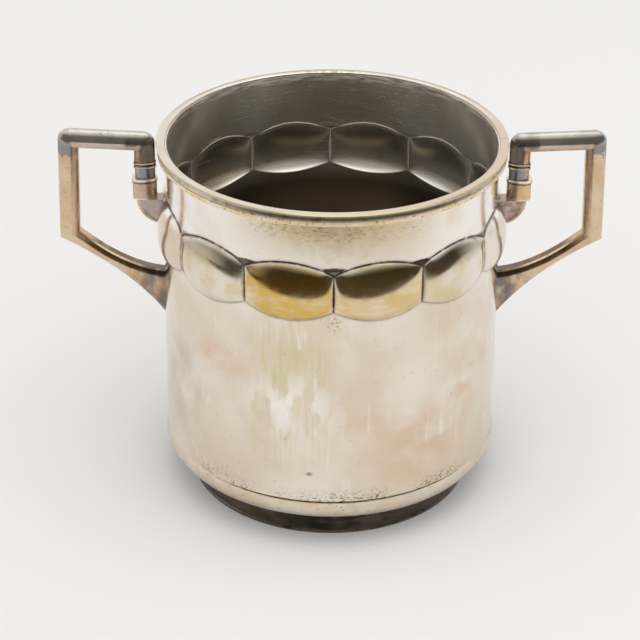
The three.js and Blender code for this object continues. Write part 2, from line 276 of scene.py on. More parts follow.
# Silver plate on brass, polished by hand: cream, with fairly sharp reflections. Water has left yellow-green
# streaks and polish has dried brown in the creases and hollows, which also carry painted shade. The front
# lobes are golden, with a painted dark reflection over the upper parts of the front four, and the inside is
# dull brown with painted shade.
silver = linear("#ebe2d5")
warm_silver = linear("#e0cfba")
bright_silver = linear("#f6f1ea")
neck_tarnish = linear("#cfbb98")
water_streak = linear("#d6caa0")
copper_blush = linear("#dcbc9f")
grey_film = linear("#c3b3a0")
golden_tarnish = linear("#d8b566")
green_tarnish = linear("#d6c58e")
olive_dirt_and_reflection = linear("#6f6443")
speck_gold = linear("#a8842f")
brown_dirt_and_shade = linear("#5d4a38")
crease_dirt_and_shade = linear("#453a3a")
inside_top = linear("#e6ddd0")
inside_shade = linear("#b3a590")
deep_shade_and_stain = linear("#6b5d4c")
bottom_stain = linear("#2c251e")
scratch_grey = linear("#d3cabc")

vessel_material, tree, shader, place = metal_material("hand_polished_silver_plate")
lobe = put(tree, "Attribute", out="Fac", attribute_name="lobe")
crease = put(tree, "Attribute", out="Fac", attribute_name="crease")
hollow = put(tree, "Attribute", out="Fac", attribute_name="hollow")
inside = put(tree, "Attribute", out="Fac", attribute_name="inside")
height = put(tree, "SeparateXYZ", {0: place}, "Z")
toward_back = height.node.outputs["Y"]
toward_right = height.node.outputs["X"]
toward_front = put(tree, "Math", {0: toward_back, 1: -1.0}, operation="MULTIPLY")
azimuth = put(tree, "Math", {0: toward_right, 1: toward_front}, operation="ARCTAN2")
from_front = put(tree, "Math", {0: azimuth}, operation="ABSOLUTE")

# The wall: warm clouds all over, brighter sides, tarnish and smeared polish under the rim at the front.
colour = lay(tree, silver, warm_silver, 1.0, patches(tree, place, 32, 0.42, 0.62))
sides = (from_front, 0.3, 0.9)
below_lobes = (height, 0.150, 0.140)
colour = lay(tree, colour, warm_silver, 0.5, sides, below_lobes, patches(tree, place, 12, 0.36, 0.6))
colour = lay(tree, colour, bright_silver, 1.0, sides, (height, 0.176, 0.180))
neck_front = (from_front, 0.65, 0.2)
colour = lay(tree, colour, neck_tarnish, 1.0, neck_front, (height, 0.184, 0.202))
under_rim = (height, 0.193, 0.202)
rim_specks = patches(tree, place, 1.1, 0.5, 0.64, (0.7, 0.7, 2))
smeared = patches(tree, place, 8, 0.42, 0.56, (0.7, 0.7, 1.4))
colour = lay(tree, colour, olive_dirt_and_reflection, 0.75, neck_front, under_rim, rim_specks, smeared)

# Down the front: water streaks, patches wiped bright between them, and fine drips all round.
streaked = patch_at(tree, place, (-25, -93, 104), (30, 40, 62))
broad_streaks = patches(tree, place, 9, 0.42, 0.62, (1, 1, 0.5))
fine_streaks = patches(tree, place, 1.3, 0.5, 0.62, (1, 1, 0.09))
colour = lay(tree, colour, water_streak, 0.5, streaked, broad_streaks)
colour = lay(tree, colour, water_streak, 0.7, streaked, fine_streaks)
wiped = patch_at(tree, place, (-22, -93, 92), (34, 30, 26), 0.7)
colour = lay(tree, colour, bright_silver, 0.9, wiped, patches(tree, place, 5, 0.46, 0.56, (1, 1, 0.5)))
drips = patches(tree, place, 1.6, 0.55, 0.66, (1, 1, 0.1))
colour = lay(tree, colour, bright_silver, 0.5, drips, below_lobes, patches(tree, place, 14, 0.5, 0.62))

# Where the plate is thin the brass blushes through it; a grey film lies low on the left.
blushes = (
    ((50, -82, 62), (38, 34, 36)),
    ((-62, -72, 112), (20, 24, 16)),
    ((76, -56, 95), (18, 30, 30)),
)
for centre, reach in blushes:
    blush = patch_at(tree, place, centre, reach)
    cloudy = patches(tree, place, 8, 0.36, 0.6, (0.8, 0.8, 1.3))
    colour = lay(tree, colour, copper_blush, 0.65, blush, cloudy)
filmed = patch_at(tree, place, (-84, -42, 84), (18, 34, 40))
colour = lay(tree, colour, grey_film, 0.7, filmed, patches(tree, place, 10, 0.34, 0.62))
colour = lay(tree, colour, copper_blush, 0.3, patches(tree, place, 13, 0.57, 0.72))
single_drip = patch_at(tree, place, (-13.4, -96.6, 63), (1.3, 4, 11), 0.8)
colour = lay(tree, colour, silver, 0.8, single_drip)
brown_spot = patch_at(tree, place, (-12.8, -96.7, 50.4), (2.6, 4, 1.8), 0.8)
colour = lay(tree, colour, brown_dirt_and_shade, 0.75, brown_spot)
colour = lay(tree, colour, brown_dirt_and_shade, 0.5, patches(tree, place, 0.8, 0.68, 0.74))

# The lobes: greenish on the front four, golden at the back, deep gold with bare strokes on the front two.
# The upper parts of the front four are painted dark olive, a painted reflection.
on_lobe = (lobe, 0.02, 0.3)
front_pair = (from_front, 0.55, 0.5)
front_four = (from_front, 1.08, 1.0)
back_lobes = (from_front, 1.6, 2.0)
left_share = put(tree, "MapRange", {"Value": azimuth, "From Min": 0.03, "From Max": -0.03, "To Min": 0.6})
colour = lay(tree, colour, green_tarnish, 0.6, on_lobe, front_four, patches(tree, place, 7, 0.48, 0.62))
colour = lay(tree, colour, golden_tarnish, 0.7, on_lobe, back_lobes, patches(tree, place, 9, 0.42, 0.66))
gold_flow = patches(tree, place, 7, 0.2, 0.5, (0.7, 0.7, 1.4))
colour = lay(tree, colour, golden_tarnish, 1.0, on_lobe, front_pair, left_share, gold_flow)
bare_strokes = patches(tree, place, 4, 0.56, 0.7, (0.6, 0.6, 2))
colour = lay(tree, colour, silver, 0.4, on_lobe, front_pair, bare_strokes)
# Painted reflection: dark olive over the upper parts of the front four lobes.
colour = lay(tree, colour, olive_dirt_and_reflection, 0.75, on_lobe, front_four, (height, 0.170, 0.180))

# Dried polish: specks over the base band and in the middle groove. The brown in the hollows over the grooves
# and along the creases is dried polish and painted shade together.
above_base = (height, 0.041, 0.0345)
base_specks = patches(tree, place, 0.9, 0.5, 0.62, (1, 1, 1.8))
base_clumps = patches(tree, place, 14, 0.34, 0.5)
colour = lay(tree, colour, olive_dirt_and_reflection, 0.85, above_base, (from_front, 0.95, 0.8), base_specks, base_clumps)
groove_specks = patches(tree, place, 0.9, 0.5, 0.64)
middle_groove = patch_at(tree, place, (0, -97, 147), (5, 6, 7))
colour = lay(tree, colour, speck_gold, 0.9, groove_specks, middle_groove)
# Painted shade with dried polish: brown in the hollows and along the creases.
colour = lay(tree, colour, brown_dirt_and_shade, 0.8, hollow, patches(tree, place, 5, 0.2, 0.5))
colour = lay(tree, colour, crease_dirt_and_shade, 0.92, crease, patches(tree, place, 2.2, 0.2, 0.5))

# Inside the plate has gone dull. Its colour is painted darker downwards, darker over the upper hollows and
# in one patch high on the back wall, all painted shade. It is rubbed bright in strokes near the mouth and
# scratched round the upper wall; the bright lines on the creases and along the lower edges of the hollow
# lobes are painted highlights.
inner_colour = lay(tree, inside_top, inside_shade, 0.7, patches(tree, place, 26, 0.42, 0.6, (1, 1, 0.35)))
# Painted shade: darker downwards inside.
inner_colour = lay(tree, inner_colour, deep_shade_and_stain, 1.0, (height, 0.160, 0.142))
shaded_back = patch_at(tree, place, (12, 96, 196), (34, 24, 22))
# Painted shade: a darker patch high on the back wall.
inner_colour = lay(tree, inner_colour, inside_shade, 0.8, shaded_back)
# Painted shade: darker over the upper parts of the hollow lobes.
inner_colour = lay(tree, inner_colour, deep_shade_and_stain, 0.55, (lobe, 0.1, 0.6), (height, 0.159, 0.167))
scratches = hairlines(tree, place, 18, 0.005, (0.12, 0.05, 0.0), (1, 1, 11))
scratched = through(tree, scratches, patches(tree, place, 26, 0.48, 0.56), (height, 0.15, 0.158))
mouth_strokes = patches(tree, place, 3, 0.42, 0.62, (0.6, 0.6, 5))
rubbed_mouth = through(tree, mouth_strokes, (height, 0.2085, 0.2115))
# Painted highlights: bright lines along the creases inside. The rubbed mask below carries them together with
# the real scratches and mouth strokes.
crease_highlight_line = put(tree, "MapRange", {"Value": crease, "From Min": 0.75, "From Max": 0.95})
rubbed = put(tree, "Math", {0: scratched, 1: rubbed_mouth}, operation="MAXIMUM")
rubbed = put(tree, "Math", {0: rubbed, 1: crease_highlight_line}, operation="MAXIMUM")
rubbed = through(tree, rubbed, inside)
inner_colour = lay(tree, inner_colour, scratch_grey, 0.8, rubbed)
inner_colour = lay(tree, inner_colour, bright_silver, 1.0, crease_highlight_line)
# Painted highlight along the lower edges of the hollow lobes.
hollow_edge_highlight = through(tree, inside, (height, 0.1562, 0.1530), (lobe, 0.02, 0.15))
inner_colour = lay(tree, inner_colour, bright_silver, 1.0, hollow_edge_highlight)
golden_side = patch_at(tree, place, (-72, 50, 150), (40, 40, 20))
inner_colour = lay(tree, inner_colour, golden_tarnish, 0.4, golden_side)
stained = (height, 0.09, 0.05)
inner_colour = lay(tree, inner_colour, bottom_stain, 1.0, stained)
inner_colour = lay(tree, inner_colour, deep_shade_and_stain, 0.5, stained, patches(tree, place, 12, 0.45, 0.68))
colour = lay(tree, colour, inner_colour, 1.0, inside)
tree.links.new(colour, shader.inputs["Base Color"])

worn = patches(tree, place, 2.5, 0.35, 0.7)
roughness = put(tree, "MapRange", {"Value": worn, "To Min": 0.12, "To Max": 0.2})
roughness = put(tree, "Mix", {0: crease, 2: roughness, 3: 0.45})
roughness = put(tree, "Mix", {0: inside, 2: roughness, 3: 0.24})
roughness = put(tree, "Mix", {0: hollow_edge_highlight, 2: roughness, 3: 0.34})
tree.links.new(roughness, shader.inputs["Roughness"])
plate = put(tree, "MapRange", {"Value": inside, "To Min": 1.0, "To Max": 0.78})
plate = put(tree, "Mix", {0: rubbed, 2: plate, 3: 0.35})
plate = put(tree, "Mix", {0: hollow_edge_highlight, 2: plate, 3: 0.75})
tree.links.new(plate, shader.inputs["Metallic"])
swell = put(tree, "TexNoise", {"Vector": place, "Scale": 0.5 / (16 * MM), "Detail": 2.0})
uneven = put(tree, "Bump", {"Height": swell, "Distance": 0.09 * MM})
grain = put(tree, "TexNoise", {"Vector": place, "Scale": 0.5 / (0.7 * MM), "Detail": 3.0})
normal = put(tree, "Bump", {"Height": grain, "Distance": 0.006 * MM, "Normal": uneven})
tree.links.new(normal, shader.inputs["Normal"])
vessel.data.materials.append(vessel_material)


# Mouth moulding
# A drawn strip soldered over the neck's edge: a flat lip with a thin edge, a cove under it and a rounded
# bead. The lip is rubbed bright, with a painted highlight at the back, and the cove is dull.
lip_reach = 4.8
mouth_radius = neck_radius + lip_reach
lip_cover = 0.3
moulding_height = 7.2
moulding_bead = 2.8
bead_inset = 0.7
cove_depth = 1.6
lip_edge = 0.75
lip_slope = 0.9
lip_bevel = 0.4
bead_foot = 1.5
bead_low_round = 0.7
bead_high_round = 0.5
bead_top_round = 0.6
cove_start = 0.9
cove_end = 0.6
cove_rise = 1.2
solder_gap = 0.05
turned_columns = 288


def curve_through(a, b, c, count, first=0):
    """Points along a curve from a to c that leans towards b. With first at 1 it leaves out a."""
    found = []
    for i in range(first, count + 1):
        t = i / count
        found.append(tuple(p * (1 - t) ** 2 + q * 2 * t * (1 - t) + r * t**2 for p, q, r in zip(a, b, c)))
    return found


def eased(outline, radius, steps=3):
    """A closed outline with each corner drawn as a small curve."""
    smooth = []
    for i, corner in enumerate(outline):
        here = Vector(corner)
        before = Vector(outline[i - 1]) - here
        after = Vector(outline[(i + 1) % len(outline)]) - here
        start = here + before * min(0.45, radius / before.length)
        end = here + after * min(0.45, radius / after.length)
        smooth += curve_through(start, here, end, steps)
    return smooth


def turned_piece(name, outline):
    """A ring turned round the vessel's axis from a closed outline of (radius, height)."""
    rows = []
    for r, z in outline:
        row = []
        for i in range(turned_columns):
            angle = 2 * math.pi * i / turned_columns
            row.append((r * math.cos(angle), r * math.sin(angle), z))
        rows.append(row)
    return sheet_mesh(name, rows, wrap=True)


lip_bottom = mouth_height - lip_thickness
lip_edge_bottom = mouth_height - lip_edge
lip_inner = neck_radius - lip_cover
moulding_inner = neck_radius + solder_gap
moulding_bottom = mouth_height - moulding_height
bead_top = moulding_bottom + moulding_bead
bead_outer = mouth_radius - bead_inset
bead_start = (moulding_inner + bead_foot, moulding_bottom)
bead_side = (bead_outer, moulding_bottom + bead_low_round)
bead_outline = curve_through(bead_start, (bead_outer, moulding_bottom), bead_side, 5)
bead_shoulder = (bead_outer, bead_top - bead_high_round)
bead_crown = (bead_outer - bead_top_round, bead_top)
bead_outline += curve_through(bead_shoulder, (bead_outer, bead_top), bead_crown, 5)
cove_low = (bead_outer - cove_start, bead_top)
cove_pull = (bead_outer - cove_depth, bead_top + cove_rise)
cove_high = (bead_outer - cove_depth, lip_bottom - cove_end)
cove_outline = curve_through(cove_low, cove_pull, cove_high, 8)
lip_outline = [(mouth_radius - 0.2, lip_edge_bottom), (mouth_radius, lip_edge_bottom + 0.25)]
lip_outline += [(mouth_radius - lip_slope, mouth_height), (lip_inner + lip_bevel, mouth_height)]
lip_outline += [(lip_inner, mouth_height - lip_bevel), (lip_inner, lip_bottom + solder_gap)]
moulding_back = [(moulding_inner, lip_bottom + solder_gap), (moulding_inner, moulding_bottom)]
mouth_outline = moulding_back + bead_outline + cove_outline + lip_outline
mouth = turned_piece("mouth_moulding_strip", eased(mouth_outline, 0.15))
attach(mouth, "root")
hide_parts("mouth_moulding")

# Silver plate on a drawn brass strip: the lip is pale, worn pink on the right, whiter at the back as a
# painted highlight, tan along its outer edge at the back and crossed by two dark joints. The cove is dull
# with dried polish, the bead golden with brown specks.
lip_silver = linear("#e4dacd")
lip_worn = linear("#dfccb8")
lip_tan = linear("#b8a887")
edge_gold = linear("#c0ae76")
cove_dirt = linear("#cbc4ba")
bead_cream = linear("#ecd8bf")
bead_gold = linear("#e3cb97")
joint_line = linear("#55452f")

mouth_material, tree, shader, place = metal_material("drawn_silver_plated_strip")
height = put(tree, "SeparateXYZ", {0: place}, "Z")
toward_back = height.node.outputs["Y"]
level_place = put(tree, "Mapping", {"Vector": place, "Scale": (1, 1, 0)})
from_axis = put(tree, "VectorMath", {0: level_place}, "Value", operation="LENGTH")
right_side = (height.node.outputs["X"], -0.02, 0.08)
at_back = (toward_back, 0.02, 0.06)
colour = lay(tree, lip_silver, lip_worn, 1.0, right_side, (toward_back, 0.06, 0.01))
# Painted highlight: the lip is whiter at the back.
colour = lay(tree, colour, bright_silver, 0.9, at_back)
colour = lay(tree, colour, lip_worn, 0.6, patches(tree, place, 11, 0.45, 0.65))
colour = lay(tree, colour, lip_tan, 0.9, (from_axis, 0.0968, 0.0978), at_back)
back_middle = patch_at(tree, place, (-2, 98, 214.5), (26, 12, 6))
colour = lay(tree, colour, lip_tan, 0.9, back_middle, patches(tree, place, 3, 0.4, 0.55))
colour = lay(tree, colour, edge_gold, 0.9, (from_axis, 0.0991, 0.0993), (toward_back, -0.03, -0.06))
under_lip = put(tree, "MapRange", {"Value": height, "From Min": 0.2136, "From Max": 0.2134})
colour = lay(tree, colour, cove_dirt, 1.0, under_lip)
colour = lay(tree, colour, brown_dirt_and_shade, 0.4, under_lip, patches(tree, place, 3, 0.5, 0.62))
on_bead = put(tree, "MapRange", {"Value": height, "From Min": 0.2103, "From Max": 0.2100})
colour = lay(tree, colour, bead_cream, 1.0, on_bead)
colour = lay(tree, colour, bead_gold, 0.9, on_bead, patches(tree, place, 5, 0.42, 0.58))
colour = lay(tree, colour, brown_dirt_and_shade, 0.7, on_bead, patches(tree, place, 0.9, 0.58, 0.66))
colour = lay(tree, colour, brown_dirt_and_shade, 0.7, (height, 0.2078, 0.2074), patches(tree, place, 3, 0.35, 0.5))
long_joint = patch_at(tree, place, (97, -0.5, 214.5), (3.4, 0.35, 2), 0.9)
short_joint = patch_at(tree, place, (91.7, 39.8, 214.5), (2.2, 0.5, 2), 0.9)
colour = lay(tree, colour, joint_line, 0.8, long_joint)
colour = lay(tree, colour, joint_line, 0.7, short_joint)
tree.links.new(colour, shader.inputs["Base Color"])
roughness = put(tree, "Mix", {0: under_lip, 2: 0.16, 3: 0.3})
tree.links.new(roughness, shader.inputs["Roughness"])
plate = put(tree, "MapRange", {"Value": on_bead, "To Min": 1.0, "To Max": 0.55})
tree.links.new(plate, shader.inputs["Metallic"])
swell = put(tree, "TexNoise", {"Vector": place, "Scale": 0.5 / (8 * MM), "Detail": 2.0})
uneven = put(tree, "Bump", {"Height": swell, "Distance": 0.03 * MM})
tree.links.new(uneven, shader.inputs["Normal"])
mouth.data.materials.append(mouth_material)


# Base band
# A rounded strip soldered over the joint between the vessel's corner and its foot. Dirt sits in the crease
# along its upper edge.
band_proud = 0.7
band_height = 13.2
band_tuck = 4.7
band_drop = 0.9
band_merge = 3.6
band_overlap = 0.5
band_back = 0.4
foot_inset = 1.6
foot_outer = floor_radius - foot_inset
band_bottom = foot_height - band_drop
band_top = band_bottom + band_height
band_outer = wall_foot + band_proud
band_low = (band_outer - band_tuck, band_bottom)
band_belly = (band_outer, band_bottom + band_height * 0.4)
band_high = (band_outer, band_top - band_merge)
band_shoulder = (band_outer - 0.1, band_top - 1.2)
band_outline = [(foot_outer - band_overlap, band_bottom)]
band_outline += curve_through(band_low, band_belly, band_high, 10)
band_outline += curve_through(band_high, band_shoulder, (wall_foot, band_top), 8, 1)
band_outline += [(floor_radius, foot_height + band_back)]
band = turned_piece("base_band_strip", band_outline)
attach(band, "root")
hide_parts("base_band")

# Silver plate on a rolled brass strip: cream and a little softer than the body, with dried brown polish
# along its upper edge that is thickest at the front.
band_silver = linear("#e2d6c6")
band_worn = linear("#d8c3a6")

band_material, tree, shader, place = metal_material("rolled_silver_plated_strip")
height = put(tree, "SeparateXYZ", {0: place}, "Z")
at_front = (height.node.outputs["Y"], -0.062, -0.078)
upper_edge = (height, 0.0314, 0.0321)
colour = lay(tree, band_silver, band_worn, 0.8, patches(tree, place, 8, 0.42, 0.62, (1, 1, 1.6)))
colour = lay(tree, colour, brown_dirt_and_shade, 0.6, patches(tree, place, 1.1, 0.63, 0.7))
colour = lay(tree, colour, brown_dirt_and_shade, 0.7, upper_edge, at_front, patches(tree, place, 1.8, 0.46, 0.6))
colour = lay(tree, colour, brown_dirt_and_shade, 0.8, (height, 0.0202, 0.0193))
tree.links.new(colour, shader.inputs["Base Color"])
worn = patches(tree, place, 3, 0.35, 0.7)
roughness = put(tree, "MapRange", {"Value": worn, "To Min": 0.15, "To Max": 0.26})
tree.links.new(roughness, shader.inputs["Roughness"])
swell = put(tree, "TexNoise", {"Vector": place, "Scale": 0.5 / (7 * MM), "Detail": 2.0})
uneven = put(tree, "Bump", {"Height": swell, "Distance": 0.06 * MM})
tree.links.new(uneven, shader.inputs["Normal"])
band.data.materials.append(band_material)


# Foot ring
# A low tapering collar soldered under the vessel, with a fine bead along the edge that stands on the table.
# It is seldom polished, so it is nearly black with tarnish; the light line along its bead is rubbed and also
# a painted highlight.
foot_taper = 1.8
foot_wall = 2
foot_bead = 2.6
foot_bead_proud = 0.6
joint_gap = 0.3
foot_lower = foot_outer - foot_taper
foot_bead_outer = foot_lower + foot_bead_proud
foot_outline = [(foot_lower - foot_wall, 0), (foot_lower, 0)]
foot_bead_pull = (foot_bead_outer * 2 - foot_lower, foot_bead / 2)
foot_outline += curve_through((foot_lower, 0), foot_bead_pull, (foot_lower, foot_bead), 8, 1)
foot_top = foot_height - joint_gap
foot_outline += [(foot_lower + foot_taper * 0.35, foot_bead + (foot_height - foot_bead) * 0.55)]
foot_outline += [(foot_outer, foot_top), (foot_outer - foot_wall, foot_top)]
foot = turned_piece("foot_collar", eased(foot_outline, 0.2, 2))
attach(foot, "root")
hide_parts("foot_ring")

# Silver plate on brass, black-brown with tarnish: a dark, rather dull mirror with lighter patches. It is
# painted darkest in the middle of its front and back, as painted shade, and its lower edge is rubbed and
# carries a painted highlight.
foot_tarnish = linear("#5d5349")
foot_black_and_shade = linear("#332c26")
foot_worn_and_highlight = linear("#7d7063")

foot_material, tree, shader, place = metal_material("tarnished_silver_plate")
height = put(tree, "SeparateXYZ", {0: place}, "Z")
sideways = put(tree, "Math", {0: height.node.outputs["X"]}, operation="ABSOLUTE")
lower_edge = (height, 0.0028, 0.0018)
# Painted shade: darkest at the middle of front and back, lighter towards the sides.
colour = lay(tree, foot_black_and_shade, foot_tarnish, 1.0, (sideways, 0.01, 0.06))
colour = lay(tree, colour, foot_worn_and_highlight, 0.35, patches(tree, place, 7, 0.45, 0.65, (1, 1, 3)))
# Painted highlight along the bead's lower edge.
colour = lay(tree, colour, foot_worn_and_highlight, 0.8, lower_edge, patches(tree, place, 4, 0.35, 0.55))
tree.links.new(colour, shader.inputs["Base Color"])
worn = patches(tree, place, 4, 0.35, 0.65)
roughness = put(tree, "MapRange", {"Value": worn, "To Min": 0.24, "To Max": 0.4})
tree.links.new(roughness, shader.inputs["Roughness"])
foot.data.materials.append(foot_material)


# Handles
# Cast angular loops of D-shaped bar, flat and bevelled towards the opening, filed and plated. The lower end
# spreads and is soldered to the wall.
bar_width = 11.8
bar_half = 4.4
bevel_width = 3.8
inner_half = 3.4
arris_round = 0.9
leg_gap = 0.7
leg_drop = 14.6
leg_outer = mouth_radius + leg_gap
leg_inner = leg_outer + bar_width
leg_end = mouth_height - leg_drop
grip_round = 7
grip_depth = 10.9
grip_rise = 3.1
grip_slope = 0.045
opening_round = 0.4
opening_width = 31.4
outer_bar = leg_inner + opening_width
elbow_lean = 1.4
elbow_x = outer_bar + elbow_lean
loop_height = 52.4
elbow_drop = 5
arm_drop = 25
arm_spread = 31
arm_bend_reach = 22
arm_upper_bend = 2
arm_under_bend = 0.8
section_steps = 22
corner_steps = 12
arm_steps = 20
wall_sink = 0.8


def grip_top(x):
    """Height of the grip's top edge, which rises a little outwards."""
    return mouth_height + grip_rise + grip_slope * (x - leg_outer - grip_round)


def grip_under(x):
    """Height of the grip's edge towards the opening."""
    return grip_top(x) - grip_depth


def bar_ring(inner, outer, bevel, half, face):
    """The bar's section between a point on the opening's edge and one outside it, as (x, y, z, mark) in the
    round: the mark is 1 on the flat that faces the opening and runs down to 0 at the bevel's outer edge."""
    width = (outer - inner).length
    way = (outer - inner) / width
    edge = face - arris_round
    outline = [(0.0, -edge, 1.0), (0.0, 0.0, 1.0), (0.0, edge, 1.0), (arris_round, face, 0.9)]
    for i in range(section_steps + 1):
        turn = i / section_steps * math.pi
        outline.append((bevel + (width - bevel) * math.sin(turn), half * math.cos(turn), 0.0))
    outline.append((arris_round, -face, 0.9))
    return [(inner.x + way.x * s, t, inner.y + way.y * s, share) for s, t, share in outline]


def corner_stations(corner, outer_x, side):
    """Inner and outer points and the bevel's width round one of the grip's two rounded corners, from level
    to upright."""
    outer_z = grip_top(outer_x - side * grip_round)
    found = []
    for i in range(corner_steps + 1):
        turn = i / corner_steps * math.pi / 2
        out, down = 1 - math.sin(turn), 1 - math.cos(turn)
        inner = Vector((corner[0] - side * opening_round * out, corner[1] - opening_round * down))
        outer = Vector((outer_x - side * grip_round * out, outer_z - grip_round * down))
        found.append((inner, outer, bevel_width * (1 + (math.sqrt(2) - 1) * math.sin(2 * turn))))
    return found


elbow_z = grip_under(outer_bar) - loop_height
arm_wall_x = body_radius - wall_sink
arm_wall_z = elbow_z - arm_drop
arm_bend_x = body_radius + arm_bend_reach
arm_inner = curve_through(
    (elbow_x, elbow_z),
    (arm_bend_x, arm_wall_z + arm_upper_bend),
    (arm_wall_x, arm_wall_z),
    arm_steps,
)
arm_outer = curve_through(
    (elbow_x + bar_width, elbow_z - elbow_drop),
    (arm_bend_x, arm_wall_z + arm_under_bend),
    (arm_wall_x, arm_wall_z - arm_spread),
    arm_steps,
)
stations = [(Vector((leg_inner, leg_end)), Vector((leg_outer, leg_end)), bevel_width)]
stations += corner_stations((leg_inner, grip_under(leg_inner)), leg_outer, -1)[::-1]
stations += corner_stations((outer_bar, grip_under(outer_bar)), outer_bar + bar_width, 1)
# The bar turns sharply at the elbow, so the section there lies on the mitre and its bevel is wider.
for i, (inner, outer) in enumerate(zip(arm_inner, arm_outer)):
    stations.append((Vector(inner), Vector(outer), bevel_width * (math.sqrt(2) if i == 0 else 1)))
handle_rings = [bar_ring(a, b, w, bar_half, inner_half) for a, b, w in stations]

# Worn silver plate on cast brass. The grip, its corners and the leg keep grey plate that ends in a ragged
# edge on the outer bar. Below it hands have bared the tan brass, with brown dirt on the bevels and rusty and
# blue tarnish where the arm meets the wall. Along the arm's arris runs a rubbed gold line that is also a
# painted highlight, and the brown on the arm's upper flat and bevel is a painted dark reflection.
plate_grey = linear("#c9c2ba")
plate_dark = linear("#8a857f")
plate_black = linear("#4d4640")
bare_brass = linear("#d5b894")
pale_brass = linear("#dfccb1")
copper_flat = linear("#cfab8c")
bevel_dirt_and_reflection = linear("#4b3b2d")
arm_brown_reflection = linear("#725843")
arris_highlight_gold = linear("#f6e9cc")
rusty_copper = linear("#a2653a")
blue_tarnish = linear("#6b6870")

handle_material, tree, shader, place = metal_material("worn_plate_on_cast_brass")
bevel = put(tree, "Attribute", out="Fac", attribute_name="bevel")
height = put(tree, "SeparateXYZ", {0: place}, "Z")
outward = put(tree, "Math", {0: height.node.outputs["X"]}, operation="ABSOLUTE")
colour = lay(tree, bare_brass, pale_brass, 0.8, patches(tree, place, 7, 0.4, 0.62))
colour = lay(tree, colour, copper_flat, 0.5, patches(tree, place, 4, 0.52, 0.66))
ragged = put(tree, "TexNoise", {"Vector": place, "Scale": 0.5 / (3.2 * MM), "Detail": 5.0})
raised = put(
    tree,
    "MapRange",
    {"Value": ragged, "From Min": 0.3, "From Max": 0.7, "To Min": -6 * MM, "To Max": 6 * MM},
)
jagged_height = put(tree, "Math", {0: height, 1: raised}, operation="ADD")
plated = put(tree, "MapRange", {"Value": jagged_height, "From Min": 0.2045, "From Max": 0.2053})
colour = lay(tree, colour, plate_grey, 1.0, plated)
colour = lay(tree, colour, plate_dark, 0.5, plated, patches(tree, place, 6, 0.45, 0.68))
at_corner = (outward, 0.140, 0.149)
colour = lay(tree, colour, plate_dark, 0.8, plated, at_corner, (height, 0.218, 0.210))
at_leg = (outward, 0.1185, 0.1165)
above_ferrule = (height, 0.196, 0.199)
colour = lay(tree, colour, plate_black, 0.85, at_leg, above_ferrule, (height, 0.217, 0.211))

on_bevel = put(tree, "MapRange", {"Value": bevel, "From Min": 0.02, "From Max": 0.1})
on_arm = put(tree, "MapRange", {"Value": height, "From Min": 0.152, "From Max": 0.147})
off_arm = put(tree, "MapRange", {"Value": height, "From Min": 0.147, "From Max": 0.152})
colour = lay(tree, colour, copper_flat, 0.85, on_bevel, patches(tree, place, 5, 0.3, 0.55))
# Painted dark reflection: brown on the arm's upper flat and bevel.
colour = lay(tree, colour, bevel_dirt_and_reflection, 0.3, on_bevel, on_arm, (bevel, 0.8, 0.5))
colour = lay(tree, colour, arm_brown_reflection, 0.95, on_arm, (bevel, 0.95, 1.0), patches(tree, place, 7, 0.15, 0.45))
# Painted highlight along the arm's arris, over a rubbed line.
arris_highlight_line = through(tree, on_arm, (bevel, 0.86, 0.9), (bevel, 1.0, 0.985))
colour = lay(tree, colour, arris_highlight_gold, 1.0, arris_highlight_line)
beside_arris = through(tree, off_arm, (bevel, 0.76, 0.86), (bevel, 0.95, 0.9))
colour = lay(tree, colour, bevel_dirt_and_reflection, 0.75, beside_arris, patches(tree, place, 5, 0.4, 0.55))
at_wall = (outward, 0.118, 0.104)
rusty = patches(tree, place, 3, 0.46, 0.56, (1, 1, 0.6))
colour = lay(tree, colour, rusty_copper, 0.45, (outward, 0.126, 0.112), on_arm, rusty)
bluish = patches(tree, place, 5, 0.32, 0.54, (1.6, 1, 0.6))
colour = lay(tree, colour, blue_tarnish, 0.85, at_wall, on_arm, bluish)
colour = lay(tree, colour, brown_dirt_and_shade, 0.7, patches(tree, place, 1.0, 0.64, 0.72))
tree.links.new(colour, shader.inputs["Base Color"])
worn = patches(tree, place, 3, 0.35, 0.7)
roughness = put(tree, "MapRange", {"Value": worn, "To Min": 0.14, "To Max": 0.24})
roughness = put(tree, "Mix", {0: plated, 2: roughness, 3: 0.19})
tree.links.new(roughness, shader.inputs["Roughness"])
dull_bevel = put(tree, "Math", {0: on_bevel, 1: off_arm}, operation="MULTIPLY")
film = put(tree, "Math", {0: plated, 1: 0.45}, operation="MULTIPLY")
film = put(tree, "Math", {0: film, 1: dull_bevel}, operation="MAXIMUM")
film = put(tree, "Math", {0: film, 1: arris_highlight_line}, operation="MAXIMUM")
plate = put(tree, "MapRange", {"Value": film, "To Min": 1.0, "To Max": 0.7})
tree.links.new(plate, shader.inputs["Metallic"])
swell = put(tree, "TexNoise", {"Vector": place, "Scale": 0.5 / (6 * MM), "Detail": 3.0})
uneven = put(tree, "Bump", {"Height": swell, "Distance": 0.12 * MM})
grain = put(tree, "TexNoise", {"Vector": place, "Scale": 0.5 / (0.8 * MM), "Detail": 3.0})
normal = put(tree, "Bump", {"Height": grain, "Distance": 0.02 * MM, "Normal": uneven})
tree.links.new(normal, shader.inputs["Normal"])

for side, turn in (("right", 0.0), ("left", math.pi)):
    handle = sheet_mesh(f"handle_bar_{side}", handle_rings, marks=("bevel",), sharp=25)
    handle.data.transform(Matrix.Rotation(turn, 4, "Z"))
    handle.data.materials.append(handle_material)
    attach(handle, "root")
    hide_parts(f"handle_{side}")


